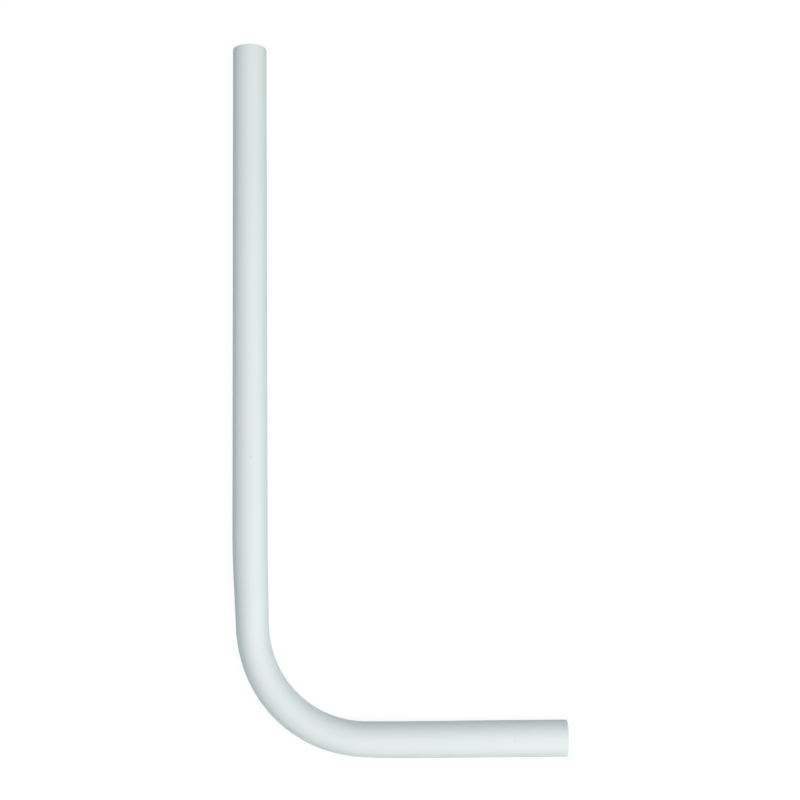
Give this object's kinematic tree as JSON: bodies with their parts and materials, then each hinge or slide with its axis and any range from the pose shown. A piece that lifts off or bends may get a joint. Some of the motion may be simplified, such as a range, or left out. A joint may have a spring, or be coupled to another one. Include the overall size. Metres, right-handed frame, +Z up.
{
  "type": "flush pipe",
  "caption": "Bare white plastic flush pipe bent at a right angle, with a long leg for the cistern, a short leg for the pan and square-cut open ends.",
  "frame": {"origin": "middle of the pipe's outline seen from above, on the surface that it lies on", "axes": "+Y along the long leg towards the inlet end, +X along the short leg towards the outlet end, +Z up from the surface that it lies on"},
  "size_m": [0.3, 0.666, 0.0335],
  "materials": {
    "pipe": "satin"
  },
  "bodies": {
    "root": {"pipe": "pipe"}
  },
  "joints": []
}
